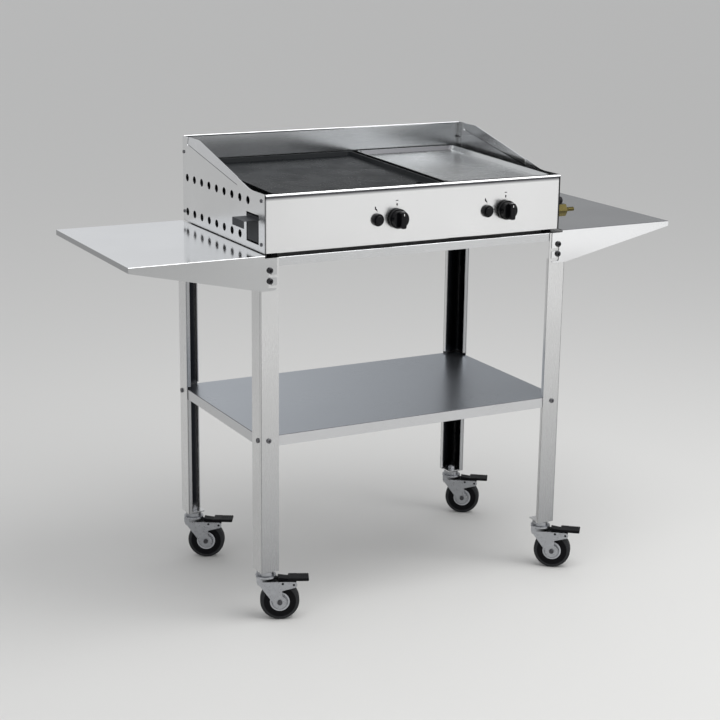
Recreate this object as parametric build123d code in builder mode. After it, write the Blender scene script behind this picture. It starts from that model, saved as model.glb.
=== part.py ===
from build123d import *
import os
from math import atan2, cos, degrees, radians, sin

# Sizes are in millimetres. X runs to the right, Y to the back and Z up, and
# x = y = 0 is the middle of the four legs until the closing section sets the origin.

# Trolley frame
leg_face = 40.0           # width of each face of an angle leg
leg_sheet = 2.0
leg_lip = 9.0             # depth of the lip along each free edge of a leg
leg_fold = 2.4            # outer radius of the leg's fold
foot_plate = 2.5          # plate that closes a leg's foot
frame_top = 750.0         # top of the rails
rail_sheet = 1.5
rail_height = 17.0
rail_ledge = 36.0         # width of a rail's level flange
rail_fold = 1.2           # outer radius of a rail's fold
lower_shelf_top = 392.0
lower_shelf_edge = 22.0   # depth of its turned-down edges
lower_shelf_sheet = 1.2
lower_shelf_fold = 1.0    # outer radius of its folds
notch_clear = 2.0         # room left in a leg's lips around what passes through them
shelf_headroom = 5.0      # lips cut away above the lower shelf, so that a sheet lies flat on it
butt_gap = 0.3            # gap between frame pieces that end at each other

# Fasteners of the trolley
hook_inset = 20.0         # hook bolt from the leg's outer side
hook_drop = 24.0          # upper hook bolt below the top of the rails
hook_pitch = 21.0
hook_radius = 3.0
hook_head_radius = 6.0
hook_head = 4.0
hook_round = 2.0
hook_nut = 5.0
screw_radius = 2.5
screw_head_radius = 5.0
screw_head = 3.0
screw_round = 1.3
screw_tail = 4.0          # screw's length behind the sheets it holds
cross_length = 5.4        # cross recess in a screw's head
cross_width = 1.2
cross_depth = 1.4
hook_socket = 2.0         # hexagon socket's inscribed radius in a hook bolt's head
hook_socket_depth = 2.4
shelf_screw_x = 18.0      # lower shelf screw in a leg's front or back face, from the outer side
shelf_screw_y = 12.0      # lower shelf screw in a leg's side face, from the front or back
shelf_screw_drop = 8.8    # lower shelf screws below the shelf's top
rail_screw_y = 20.0
hole_clear = 0.1          # radial room of a fastener in its hole

# Side shelves
wing_reach = 266.0        # beyond the legs
wing_rise = 5.0           # shelf top above the rails
wing_overlap = 10.0       # shelf top inside the leg's outer side
wing_sheet = 1.5
wing_fold = 1.2           # outer radius of its folds
wing_tip = 11.0           # depth of the flange at the shelf's tip
wing_root = 69.0          # depth of the flange at the leg
wing_tongue = 35.0        # flange's reach inward over the leg's face
wing_tongue_round = 7.0
wing_clear = 0.2          # between a flange and the leg's face
hook_lift = 12.0          # lift that frees a shelf from its bolts
hook_slot_clear = 0.4

# Casters
caster_head = 26.0        # leg's foot above the top of the wheel
caster_inset = 20.0       # swivel axis from a leg's outer sides
caster_trail = 28.0
wheel_radius = 40.0
tyre_width = 25.0
tyre_shoulder = 6.0
hub_radius = 20.0
hub_width = 27.0
hub_dish = 3.0
hub_boss_radius = 9.0
hub_ring_radius = 13.0    # raised ring between the hub's rim and boss
hub_ring_width = 1.6
hub_ring_drop = 1.2       # ring below the rim
axle_radius = 3.0
axle_head_radius = 5.0
axle_head = 4.0
axle_round = 1.2
running_clear = 0.05      # radial room of a shaft that turns in its hole
fit_gap = 0.02            # radial room between pieces pressed together
fork_sheet = 2.5
fork_gap = 31.0           # between the fork's cheeks
fork_cheek_rise = 4.0     # cheeks above the top of the wheel
fork_arm = 28.5           # rear hole of the cheek, behind the axle
fork_arm_round = 6.5
fork_waist = 5.0          # cheek's rear edge behind the axle, under the arm
fork_boss_round = 14.0
fork_nose = 19.0          # front of the fork, ahead of the swivel axis
crown_drop = 15.0         # crown's underside below the leg's foot
crown_sheet = 4.0
crown_radius = 21.0
bearing_radius = 17.0
bearing_chamfer = 1.5
bearing_gap = 0.5         # under the leg's foot plate
king_radius = 5.0
king_shoulder_radius = 7.0
king_shoulder = 8.0
king_head_radius = 8.5
king_head = 4.7
king_head_gap = 0.3
king_thread = 10.0        # above the leg's foot
dome_nut_radius = 8.5
dome_nut_hex = 6.0
dome_radius = 6.8
pedal_pivot = 6.0         # pedal's pin behind the axle
pedal_pivot_drop = 4.0    # and below the top of the cheeks
pedal_pin_radius = 2.5
pedal_ear_round = 5.0
pedal_tyre_clear = 0.8
pedal_fork_clear = 0.5
pedal_reach = 59.0        # pedal's tip behind the axle
pedal_width = 29.0
pedal_tread = 42.0
pedal_tread_rise = 0.5    # tread's underside above the cheeks
pedal_thickness = 6.0
pedal_round = 2.4
pedal_groove = 1.5        # grooves across the tread, between its ribs
pedal_groove_depth = 1.0
pedal_groove_pitch = 4.5
pedal_groove_count = 5
pedal_arm_width = 20.0
pedal_arm_clear = 3.0     # pedal's arm behind the crown
pedal_shoe = 30.0         # brake shoe behind the axle
pedal_shoe_drop = 7.5     # shoe's middle below the tread
pedal_shoe_radius = 3.5
headings = {"front_left": -24.0, "front_right": -38.0, "rear_left": -29.0, "rear_right": -34.0}

# Griddle body
body_gap = 6.0            # body above the rails
body_width = 676.0
body_depth = 415.5
body_inset = 14.0         # sides of the body inside the legs' outer sides
body_setback = 8.5        # front of the body behind the front of the legs
body_back_inset = 1.0     # back of the body ahead of the back of the legs
front_height = 115.0
back_height = 179.0
panel_sheet = 1.5
skin_sheet = 1.2          # front panel, back panel, floor pan, grease tray
panel_front_flat = 67.6   # level stretch of a side panel's top edge, at the front
panel_back_flat = 80.5    # the same at the back
panel_sweep = 115.0       # radius between the level stretch and the slope
crease_front = 132.0      # front end of the crease, behind the panel's front edge
crease_front_rise = 115.7  # and above the panel's bottom
crease_back = 387.0       # back end of the crease, behind the panel's front edge
crease_back_rise = 164.0
crease_bend = 8.0         # degrees that the strip above the crease leans in
crease_hole = 2.5
slit = 1.0                # cut at each end of the strip
vent_radius = 8.0
vent_pitch = 39.15
vent_from_back = 23.8
vent_high = 93.5          # rows of vents above the panel's bottom
vent_low = 21.3
vent_count_high = 9
vent_count_low = 8
skin_gap = 0.3            # front and back panels inside the side panels
front_return = 26.0       # depth of the front panel's side flanges
back_return = 14.0
fold_radius = 2.4
bead_radius = 3.5
bead_proud = 2.7
hem_radius = 2.0
hem_proud = 1.0           # back panel above the side panels
floor_raise = 1.0         # floor pan above the side panels' bottom
floor_flange = 10.0
foot_radius = 10.0
foot_inset_x = 22.0
foot_inset_y = 14.0
panel_screw_radius = 2.0
panel_screw_head_radius = 3.6
panel_screw_head = 2.0
panel_screw_round = 0.9
panel_screw_tail = 3.0
panel_cross_length = 3.8
panel_cross_width = 0.9
panel_cross_depth = 1.0
panel_screw_front = 16.0  # from the body's front
panel_screw_back = 6.5    # from the body's back
panel_screw_front_low = 16.0    # above the side panel's bottom
panel_screw_front_high = 101.0
panel_screw_back_low = 20.0
panel_screw_back_high = 146.0

# Griddle plates
plate_side_gap = 30.0     # outside of the body to a plate's level floor
plate_front_gap = 17.0
plate_depth = 379.0
plate_floor_front = 107.0  # floor's front edge above the body's bottom
plate_fall = 12.0         # rise of the floor from front to back
plate_sheet = 4.0
plate_divide = 62.0       # middle of the gap between the plates, right of the body's middle
plate_gap = 14.0          # between the plates' rims
rim_height = 8.0
rim_flare = 9.0
rim_wall = 2.5
plate_corner = 8.0
drain_radius = 7.0
drain_inset = 40.0        # drain from the floor's front edge
drain_from_gap = 14.0     # drain from the floor's edge at the gap
support_width = 14.0
support_web = 18.0
support_sheet = 2.0
support_clear = 1.0       # front support behind the front panel's flanges
support_inset = 10.0      # rear support from the floor's rear edge
seat_gap = 0.1

# Controls
control_height = 50.0     # knobs and igniters above the body's bottom
left_knob_x = -50.0
knob_pitch = 254.5
igniter_offset = 44.0     # igniter to the left of its knob
knob_radius = 20.0
knob_body_radius = 18.4
knob_face_radius = 17.0
knob_skirt = 4.0
knob_body = 15.0          # skirt and body together
knob_grip = 11.0          # height of the grip bar above the knob's face
knob_grip_width = 12.0
knob_grip_round = 3.6
knob_standoff = 5.0       # back of the knob from the front panel
knob_round = 1.5
knob_bore_depth = 13.0
stem_radius = 4.0
stem_hole = 6.0
stem_inside = 14.8        # stem's length behind the front panel's back face
igniter_radius = 12.4
igniter_bezel = 6.5
bezel_chamfer = 1.0
igniter_barrel_radius = 6.6
igniter_barrel = 22.0     # behind the front panel
igniter_hole_clear = 0.2
igniter_floor = 3.0       # closed end of the barrel
button_radius = 8.5
button_seat = 5.5         # depth of the bezel's recess for the button
button_clear = 0.3
button_proud = 4.0
button_cap = 5.0          # thickness of the button's cap
button_round = 1.5
plunger_radius = 4.5
plunger_length = 16.0     # behind the cap

# Gas
pipe_radius = 6.0
pipe_bore = 4.0
pipe_behind = 16.0        # manifold axis behind the body's front
pipe_clear = 0.4          # manifold below the igniters' barrels
pipe_end = 12.0           # manifold past the left knob
valve_width = 22.0
valve_depth = 22.0
valve_rise = 12.0         # valve above the knob's axis
valve_bore = 19.4
tube_radius = 4.0
tube_bend = 7.0
tube_offset = 11.0        # left tube beside its valve
tube_floor_gap = 3.3      # left tube above the floor pan
injector_radius = 6.0
injector_wall = 1.5       # injector's closed end in front of the tube
injector_clear = 1.5      # tube in front of the burner's mouth
injector_reach = 2.0      # into the burner's mouth
burner_radius = 19.0
burner_wall = 2.0
burner_front = 124.0      # burner's front end behind the body's front
burner_length = 230.0
burner_mouth_radius = 11.0
burner_mouth = 28.0
burner_arm_radius = 13.0
burner_arm_y = 120.0      # cross arm behind the burner's front end
burner_arm_share_gap = 55.0   # cross arm's end from the plate's floor edge
port_radius = 1.6
port_pitch = 20.0
bracket_sheet = 3.0
bracket_width = 62.0
bracket_rise = 18.0       # bracket above the burner's axis
electrode_radius = 3.5
electrode_length = 46.0
electrode_lead = 18.0     # electrode ahead of the bracket
electrode_side = 24.5
electrode_up = 6.0
spark_radius = 1.0
spark_length = 8.0
inlet_hole = 7.0
inlet_hex = 12.5          # hexagon's inscribed radius
inlet_hex_length = 23.0
nozzle_radius = 4.5
nozzle_length = 23.0
nozzle_barb = 0.6
nozzle_barb_length = 4.0
nozzle_barbs = 2
nozzle_bore = 2.5
plug_radius = 8.0
plug_length = 12.0
plug_round = 2.5
plug_neck_radius = 5.0
plug_rise = 21.0          # plug above the inlet
plug_behind = 12.0        # plug's axis behind the body's front

# Grease tray
tray_width = 50.0
tray_height = 50.0
tray_length = 440.0
tray_behind = 57.0        # tray's middle behind the body's front
tray_raise = 17.0         # tray above the body's bottom
tray_clear = 4.0          # room round the tray in its opening
handle_reach = 31.0
handle_lip = 15.0
handle_width = 54.0
handle_drop = 5.0         # handle below the tray's rim
cradle_length = 20.0
cradle_sheet = 2.0
cradle_side_clear = 0.5
cradle_hold = 12.0        # height of a cradle's cheeks beside the tray
cradle_left = 38.0        # cradles' middles, from the tray's left end
cradle_middle = 138.0
cradle_right = 398.0

# Places that follow from the sizes
leg_x = body_width / 2 + body_inset
leg_y = (body_setback + body_depth + body_back_inset) / 2
face_y = leg_y - leg_sheet
face_x = leg_x - leg_sheet
caster_height = 2 * wheel_radius + caster_head
fork_cheek_top = 2 * wheel_radius + fork_cheek_rise
fork_arm_x = caster_trail + fork_arm
fork_waist_x = caster_trail + fork_waist
fork_outside = fork_gap / 2 + fork_sheet
crown_bottom = caster_height - crown_drop
pedal_pivot_x = caster_trail + pedal_pivot
pedal_pivot_z = fork_cheek_top - pedal_pivot_drop
pedal_tip = caster_trail + pedal_reach
pedal_tread_z = fork_cheek_top + pedal_tread_rise
pedal_shoe_x = caster_trail + pedal_shoe
pedal_shoe_z = pedal_tread_z - pedal_shoe_drop
caster_x = leg_x - caster_inset
caster_y = leg_y - caster_inset
hook_x = leg_x - hook_inset
hook_heights = (frame_top - hook_drop, frame_top - hook_drop - hook_pitch)
ear_bottom = hook_heights[1] - hook_head_radius - notch_clear
shelf_screw_z = lower_shelf_top - shelf_screw_drop
rail_screw_z = frame_top - rail_height / 2
wing_top = frame_top + wing_rise
wing_inner = leg_x - wing_overlap
wing_end = leg_x + wing_reach
wing_face = leg_y + wing_clear
half_body = body_width / 2
inside_x = half_body - panel_sheet
skin_x = inside_x - skin_gap
body_bottom = frame_top + body_gap
body_front = body_setback - leg_y
body_back = body_front + body_depth
front_inside = body_front + skin_sheet
back_inside = body_back - skin_sheet
floor_bottom = body_bottom + floor_raise
floor_top = floor_bottom + skin_sheet
front_top = body_bottom + front_height
back_top = body_bottom + back_height
control_z = body_bottom + control_height
front_screw_rises = (panel_screw_front_low, panel_screw_front_high)
back_screw_rises = (panel_screw_back_low, panel_screw_back_high)
knob_xs = (left_knob_x, left_knob_x + knob_pitch)
igniter_xs = tuple(x - igniter_offset for x in knob_xs)
pipe_y = body_front + pipe_behind
pipe_z = control_z - igniter_barrel_radius - pipe_radius - pipe_clear
tray_y = body_front + tray_behind
tray_bottom = body_bottom + tray_raise
plate_y = body_front + plate_front_gap + plate_depth / 2
plate_z = body_bottom + plate_floor_front + plate_fall / 2
plate_tilt = atan2(plate_fall, plate_depth)
plate_normal = (0, -sin(plate_tilt), cos(plate_tilt))
plate_plane = Plane(origin=(0, plate_y, plate_z), x_dir=(1, 0, 0), z_dir=plate_normal)
plate_outer_x = half_body - plate_side_gap
divide_inset = plate_gap / 2 + rim_flare
plate_edges = {
    "left": (-plate_outer_x, plate_divide - divide_inset),
    "right": (plate_divide + divide_inset, plate_outer_x),
}
corners = {
    "front_left": (-1, -1),
    "front_right": (1, -1),
    "rear_left": (-1, 1),
    "rear_right": (1, 1),
}
along_y = (90, 0, 0)
along_x = (0, 90, 0)

finished = []


def keep(part, name):
    """Label a finished piece and put it by for the export."""
    part.label = name
    finished.append(part)


# Legs
for name, (side, end) in corners.items():

    def at(u, v):
        """Point at u and v inside the leg's outer sides."""
        return (side * (leg_x - u), end * (leg_y - v))

    inner = leg_face - leg_sheet
    lip_middle = (leg_sheet + leg_lip) / 2
    with BuildPart() as leg:
        with BuildSketch(Plane.XY.offset(caster_height)):
            with BuildLine():
                Polyline(
                    at(0, 0),
                    at(leg_face, 0),
                    at(leg_face, leg_lip),
                    at(inner, leg_lip),
                    at(inner, leg_sheet),
                    at(leg_sheet, leg_sheet),
                    at(leg_sheet, inner),
                    at(leg_lip, inner),
                    at(leg_lip, leg_face),
                    at(0, leg_face),
                    close=True,
                )
            make_face()
        extrude(amount=frame_top - caster_height)
        fold = leg.edges().filter_by(Axis.Z).sort_by_distance((*at(0, 0), caster_height))[0]
        fillet(fold, leg_fold)
        # The lips stop at the lower shelf's edge and below the rails' ears.
        shelf_notch = notch_clear + lower_shelf_edge + shelf_headroom
        shelf_notch_z = lower_shelf_top + shelf_headroom - shelf_notch / 2
        ear_notch = frame_top - ear_bottom + notch_clear
        for height, middle in ((shelf_notch, shelf_notch_z), (ear_notch, frame_top - ear_notch / 2)):
            with Locations((*at(leg_face - leg_sheet / 2, lip_middle), middle)):
                Box(leg_sheet, leg_lip - leg_sheet, height, mode=Mode.SUBTRACT)
            with Locations((*at(lip_middle, leg_face - leg_sheet / 2), middle)):
                Box(leg_lip - leg_sheet, leg_sheet, height, mode=Mode.SUBTRACT)
        with Locations((*at(leg_face / 2, leg_face / 2), caster_height + foot_plate / 2)):
            Box(leg_face - 2 * leg_sheet, leg_face - 2 * leg_sheet, foot_plate)
        with Locations((side * caster_x, end * caster_y, caster_height + foot_plate / 2)):
            Cylinder(king_radius + hole_clear, 2 * foot_plate, mode=Mode.SUBTRACT)
        with Locations(*[(side * hook_x, end * (leg_y - leg_sheet / 2), z) for z in hook_heights]):
            Cylinder(hook_radius + hole_clear, 2 * leg_sheet, rotation=along_y, mode=Mode.SUBTRACT)
        with Locations((side * (leg_x - shelf_screw_x), end * (leg_y - leg_sheet / 2), shelf_screw_z)):
            Cylinder(screw_radius + hole_clear, 2 * leg_sheet, rotation=along_y, mode=Mode.SUBTRACT)
        side_screws = ((leg_y - shelf_screw_y, shelf_screw_z), (leg_y - rail_screw_y, rail_screw_z))
        with Locations(*[(side * (leg_x - leg_sheet / 2), end * y, z) for y, z in side_screws]):
            Cylinder(screw_radius + hole_clear, 2 * leg_sheet, rotation=along_x, mode=Mode.SUBTRACT)
    keep(leg.part, f"leg_{name}")

# Front and rear rails, with an ear behind each leg's face
rail_end = face_x - rail_sheet - butt_gap
ear_inner = leg_x - leg_face + leg_sheet + notch_clear
for name, end in (("front", -1), ("rear", 1)):
    with BuildPart() as rail:
        with Locations((0, end * (face_y - rail_sheet / 2), frame_top - rail_height / 2)):
            Box(2 * rail_end, rail_sheet, rail_height)
        with Locations((0, end * (face_y - rail_ledge / 2), frame_top - rail_sheet / 2)):
            Box(2 * rail_end, rail_ledge, rail_sheet)
        fillet(rail.edges().sort_by_distance((0, end * face_y, frame_top))[0], rail_fold)
        ear_height = frame_top - ear_bottom
        ear_x = (rail_end + ear_inner) / 2
        sheet_y = end * (face_y - rail_sheet / 2)
        with Locations(*[(s * ear_x, sheet_y, frame_top - ear_height / 2) for s in (-1, 1)]):
            Box(rail_end - ear_inner, rail_sheet, ear_height)
        with Locations(*[(s * hook_x, sheet_y, z) for s in (-1, 1) for z in hook_heights]):
            Cylinder(hook_radius + hole_clear, 2 * rail_sheet, rotation=along_y, mode=Mode.SUBTRACT)
    keep(rail.part, f"{name}_rail")

# Left and right rails, whose level flanges end at those of the front and rear rails
side_rail_end = face_y - rail_sheet - butt_gap
side_ledge_end = face_y - rail_ledge - butt_gap
for name, side in (("left", -1), ("right", 1)):
    with BuildPart() as rail:
        with Locations((side * (face_x - rail_sheet / 2), 0, frame_top - rail_height / 2)):
            Box(rail_sheet, 2 * side_rail_end, rail_height)
        with Locations((side * (face_x - rail_ledge / 2), 0, frame_top - rail_sheet / 2)):
            Box(rail_ledge, 2 * side_ledge_end, rail_sheet)
        fillet(rail.edges().sort_by_distance((side * face_x, 0, frame_top))[0], rail_fold)
        sheet_x = side * (face_x - rail_sheet / 2)
        with Locations(*[(sheet_x, s * (leg_y - rail_screw_y), rail_screw_z) for s in (-1, 1)]):
            Cylinder(screw_radius + hole_clear, 2 * rail_sheet, rotation=along_x, mode=Mode.SUBTRACT)
    keep(rail.part, f"{name}_rail")

# Lower shelf
with BuildPart() as lower_shelf:
    with Locations((0, 0, lower_shelf_top - lower_shelf_edge / 2)):
        Box(2 * face_x, 2 * face_y, lower_shelf_edge)
    fillet(lower_shelf.edges().group_by(Axis.Z)[-1], lower_shelf_fold)
    with Locations((0, 0, lower_shelf_top - lower_shelf_sheet - lower_shelf_edge / 2)):
        Box(
            2 * (face_x - lower_shelf_sheet),
            2 * (face_y - lower_shelf_sheet),
            lower_shelf_edge,
            mode=Mode.SUBTRACT,
        )
    for side, end in corners.values():
        edge_x = face_x - lower_shelf_sheet / 2
        edge_y = face_y - lower_shelf_sheet / 2
        with Locations((side * (leg_x - shelf_screw_x), end * edge_y, shelf_screw_z)):
            Cylinder(screw_radius + hole_clear, 2 * lower_shelf_sheet, rotation=along_y, mode=Mode.SUBTRACT)
        with Locations((side * edge_x, end * (leg_y - shelf_screw_y), shelf_screw_z)):
            Cylinder(screw_radius + hole_clear, 2 * lower_shelf_sheet, rotation=along_x, mode=Mode.SUBTRACT)
keep(lower_shelf.part, "lower_shelf")

# Frame screws: one plain screw along +X, its head's seat at the origin
with BuildPart() as screw:
    with BuildSketch(Plane.YZ):
        Circle(screw_head_radius)
    extrude(amount=-screw_head)
    fillet(screw.edges().group_by(Axis.X)[0], screw_round)
    with BuildSketch(Plane.YZ.offset(-screw_head)):
        Rectangle(cross_length, cross_width)
        Rectangle(cross_width, cross_length)
    extrude(amount=cross_depth, mode=Mode.SUBTRACT)
    with BuildSketch(Plane.YZ):
        Circle(screw_radius)
    extrude(amount=leg_sheet + rail_sheet + screw_tail)
with BuildPart() as frame_screws:
    for side, end in corners.values():
        turn_side = 0 if side < 0 else 180
        turn_end = 90 if end < 0 else -90
        with Locations(
            Location((side * leg_x, end * (leg_y - shelf_screw_y), shelf_screw_z), (0, 0, turn_side)),
            Location((side * leg_x, end * (leg_y - rail_screw_y), rail_screw_z), (0, 0, turn_side)),
            Location((side * (leg_x - shelf_screw_x), end * leg_y, shelf_screw_z), (0, 0, turn_end)),
        ):
            add(screw.part)
keep(frame_screws.part, "frame_screws")

# Hook bolts along +Y, the leg's face at the origin, and their nuts
head_gap = wing_clear + wing_sheet + wing_clear
nut_seat = leg_sheet + rail_sheet
with BuildPart() as hook_bolt:
    with BuildSketch(Plane.XZ.offset(head_gap)):
        Circle(hook_head_radius)
    extrude(amount=hook_head)
    fillet(hook_bolt.edges().group_by(Axis.Y)[0], hook_round)
    with BuildSketch(Plane.XZ.offset(head_gap + hook_head)):
        RegularPolygon(hook_socket, 6, major_radius=False)
    extrude(amount=-hook_socket_depth, mode=Mode.SUBTRACT)
    with BuildSketch(Plane.XZ.offset(head_gap)):
        Circle(hook_radius)
    extrude(amount=-(head_gap + nut_seat + hook_nut))
with BuildPart() as hook_nut_piece:
    with BuildSketch(Plane.XZ.offset(-nut_seat)):
        RegularPolygon(hook_head_radius, 6)
        Circle(hook_radius + fit_gap, mode=Mode.SUBTRACT)
    extrude(amount=-hook_nut)
with BuildPart() as hook_bolts:
    for side, end in corners.values():
        turn = 0 if end < 0 else 180
        with Locations(*[Location((side * hook_x, end * leg_y, z), (0, 0, turn)) for z in hook_heights]):
            add(hook_bolt.part)
            add(hook_nut_piece.part)
keep(hook_bolts.part, "hook_bolts")

# Side shelves
for name, side in (("left", -1), ("right", 1)):
    root_x = leg_x - wing_tongue
    taper_x = leg_x - leg_sheet
    with BuildPart() as wing:
        with Locations((side * (wing_inner + wing_end) / 2, 0, wing_top - wing_sheet / 2)):
            Box(wing_end - wing_inner, 2 * (wing_face + wing_sheet), wing_sheet)
        with Locations((side * (wing_end - wing_sheet / 2), 0, wing_top - wing_tip / 2)):
            Box(wing_sheet, 2 * (wing_face + wing_sheet), wing_tip)
        for end in (-1, 1):
            with BuildSketch(Plane.XZ.offset(-end * wing_face)) as flange:
                with BuildLine():
                    Polyline(
                        (side * root_x, frame_top),
                        (side * wing_inner, frame_top),
                        (side * wing_inner, wing_top),
                        (side * wing_end, wing_top),
                        (side * wing_end, wing_top - wing_tip),
                        (side * taper_x, wing_top - wing_root),
                        (side * root_x, wing_top - wing_root),
                        close=True,
                    )
                make_face()
                tongue = flange.vertices().sort_by_distance((side * root_x, wing_top - wing_root))[0]
                fillet(tongue, wing_tongue_round)
                # Each slot opens at the tongue's edge and rises to the seat over the bolt.
                slot_width = 2 * (hook_radius + hook_slot_clear)
                entry = hook_x - root_x
                for z in hook_heights:
                    with Locations((side * hook_x, z)):
                        Circle(slot_width / 2, mode=Mode.SUBTRACT)
                    with Locations((side * hook_x, z - hook_lift / 2)):
                        Rectangle(slot_width, hook_lift, mode=Mode.SUBTRACT)
                    with Locations((side * hook_x, z - hook_lift)):
                        Circle(slot_width / 2, mode=Mode.SUBTRACT)
                    with Locations((side * (hook_x - entry / 2), z - hook_lift)):
                        Rectangle(entry, slot_width, mode=Mode.SUBTRACT)
            extrude(amount=-end * wing_sheet)
        top_edges = wing.edges().group_by(Axis.Z)[-1]
        fillet([edge for edge in top_edges if abs(edge.center().X) > leg_x], wing_fold)
    keep(wing.part, f"{name}_shelf")

# Caster pieces, made with the swivel axis at the origin and the trail along +X
with BuildPart() as fork:
    for s in (-1, 1):
        with BuildSketch(Plane.XZ.offset(-s * (fork_gap + fork_sheet) / 2)) as cheek:
            with BuildLine():
                Polyline(
                    (-fork_nose, crown_bottom + crown_sheet),
                    (-fork_nose + fork_sheet * 3, crown_bottom + crown_sheet),
                    (-fork_nose + fork_sheet * 5, fork_cheek_top),
                    (fork_arm_x, fork_cheek_top),
                    (fork_arm_x, fork_cheek_top - 2 * fork_arm_round),
                    (fork_waist_x, fork_cheek_top - 3 * fork_arm_round),
                    (fork_waist_x, wheel_radius + fork_boss_round),
                    (caster_trail + fork_boss_round, wheel_radius),
                    (caster_trail - fork_boss_round, wheel_radius),
                    (-fork_nose, fork_cheek_top),
                    close=True,
                )
            make_face()
            with Locations((caster_trail, wheel_radius)):
                Circle(fork_boss_round)
            with Locations((fork_arm_x, fork_cheek_top - fork_arm_round)):
                Circle(fork_arm_round)
            with Locations((caster_trail, wheel_radius)):
                Circle(axle_radius + fit_gap, mode=Mode.SUBTRACT)
            with Locations((pedal_pivot_x, pedal_pivot_z)):
                Circle(pedal_pin_radius + running_clear, mode=Mode.SUBTRACT)
            with Locations((fork_arm_x, fork_cheek_top - fork_arm_round)):
                Circle(pedal_pin_radius, mode=Mode.SUBTRACT)
        extrude(amount=fork_sheet / 2, both=True)
    # The nose joins the cheeks ahead of the wheel.
    with BuildSketch(Plane.XZ.offset(fork_gap / 2)):
        with BuildLine():
            Polyline(
                (-fork_nose, crown_bottom + crown_sheet),
                (-fork_nose + fork_sheet, crown_bottom + crown_sheet),
                (-fork_nose + fork_sheet, fork_cheek_top),
                (-fork_nose + 2 * fork_sheet, fork_cheek_top - 3 * fork_sheet),
                (-fork_nose + fork_sheet, fork_cheek_top - 3 * fork_sheet),
                (-fork_nose, fork_cheek_top),
                close=True,
            )
        make_face()
    extrude(amount=-fork_gap)
    with BuildSketch(Plane.XY.offset(crown_bottom)):
        Circle(crown_radius)
        with Locations((-fork_nose / 2, 0)):
            Rectangle(fork_nose, fork_gap + 2 * fork_sheet)
    extrude(amount=crown_sheet)
    with BuildSketch(Plane.XY.offset(crown_bottom + crown_sheet)):
        Circle(bearing_radius)
    extrude(amount=caster_height - bearing_gap - crown_bottom - crown_sheet)
    chamfer(fork.edges().group_by(Axis.Z)[-1], bearing_chamfer)
    with Locations((0, 0, caster_height - king_shoulder / 2 - king_head_gap)):
        Cylinder(king_shoulder_radius + running_clear, king_shoulder + 2 * king_head_gap, mode=Mode.SUBTRACT)
    with Locations((0, 0, crown_bottom)):
        Cylinder(king_radius + running_clear, caster_height, mode=Mode.SUBTRACT)

with BuildPart() as hub:
    with BuildSketch(Plane.XZ.offset(-hub_width / 2)):
        Circle(hub_radius)
    extrude(amount=hub_width)
    for s in (-1, 1):
        with BuildSketch(Plane.XZ.offset(s * hub_width / 2)):
            Circle(hub_radius - hub_dish)
            Circle(hub_boss_radius, mode=Mode.SUBTRACT)
        extrude(amount=-s * hub_dish, mode=Mode.SUBTRACT)
        with BuildSketch(Plane.XZ.offset(s * (hub_width / 2 - hub_dish))):
            Circle(hub_ring_radius + hub_ring_width / 2)
            Circle(hub_ring_radius - hub_ring_width / 2, mode=Mode.SUBTRACT)
        extrude(amount=s * (hub_dish - hub_ring_drop))
    Cylinder(axle_radius + running_clear, hub_width, rotation=along_y, mode=Mode.SUBTRACT)

with BuildPart() as tyre:
    with BuildSketch(Plane.XZ.offset(-tyre_width / 2)):
        Circle(wheel_radius)
    extrude(amount=tyre_width)
    fillet(tyre.edges().filter_by(GeomType.CIRCLE), tyre_shoulder)
    Cylinder(hub_radius + fit_gap, tyre_width, rotation=along_y, mode=Mode.SUBTRACT)

with BuildPart() as axle:
    with BuildSketch(Plane.XZ.offset(fork_outside)):
        Circle(axle_head_radius)
    extrude(amount=axle_head)
    fillet(axle.edges().group_by(Axis.Y)[0], axle_round)
    with BuildSketch(Plane.XZ.offset(fork_outside)):
        Circle(axle_radius)
    extrude(amount=-2 * fork_outside)
    with BuildSketch(Plane.XZ.offset(-fork_outside)):
        RegularPolygon(axle_head_radius, 6)
    extrude(amount=-axle_head)

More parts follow.
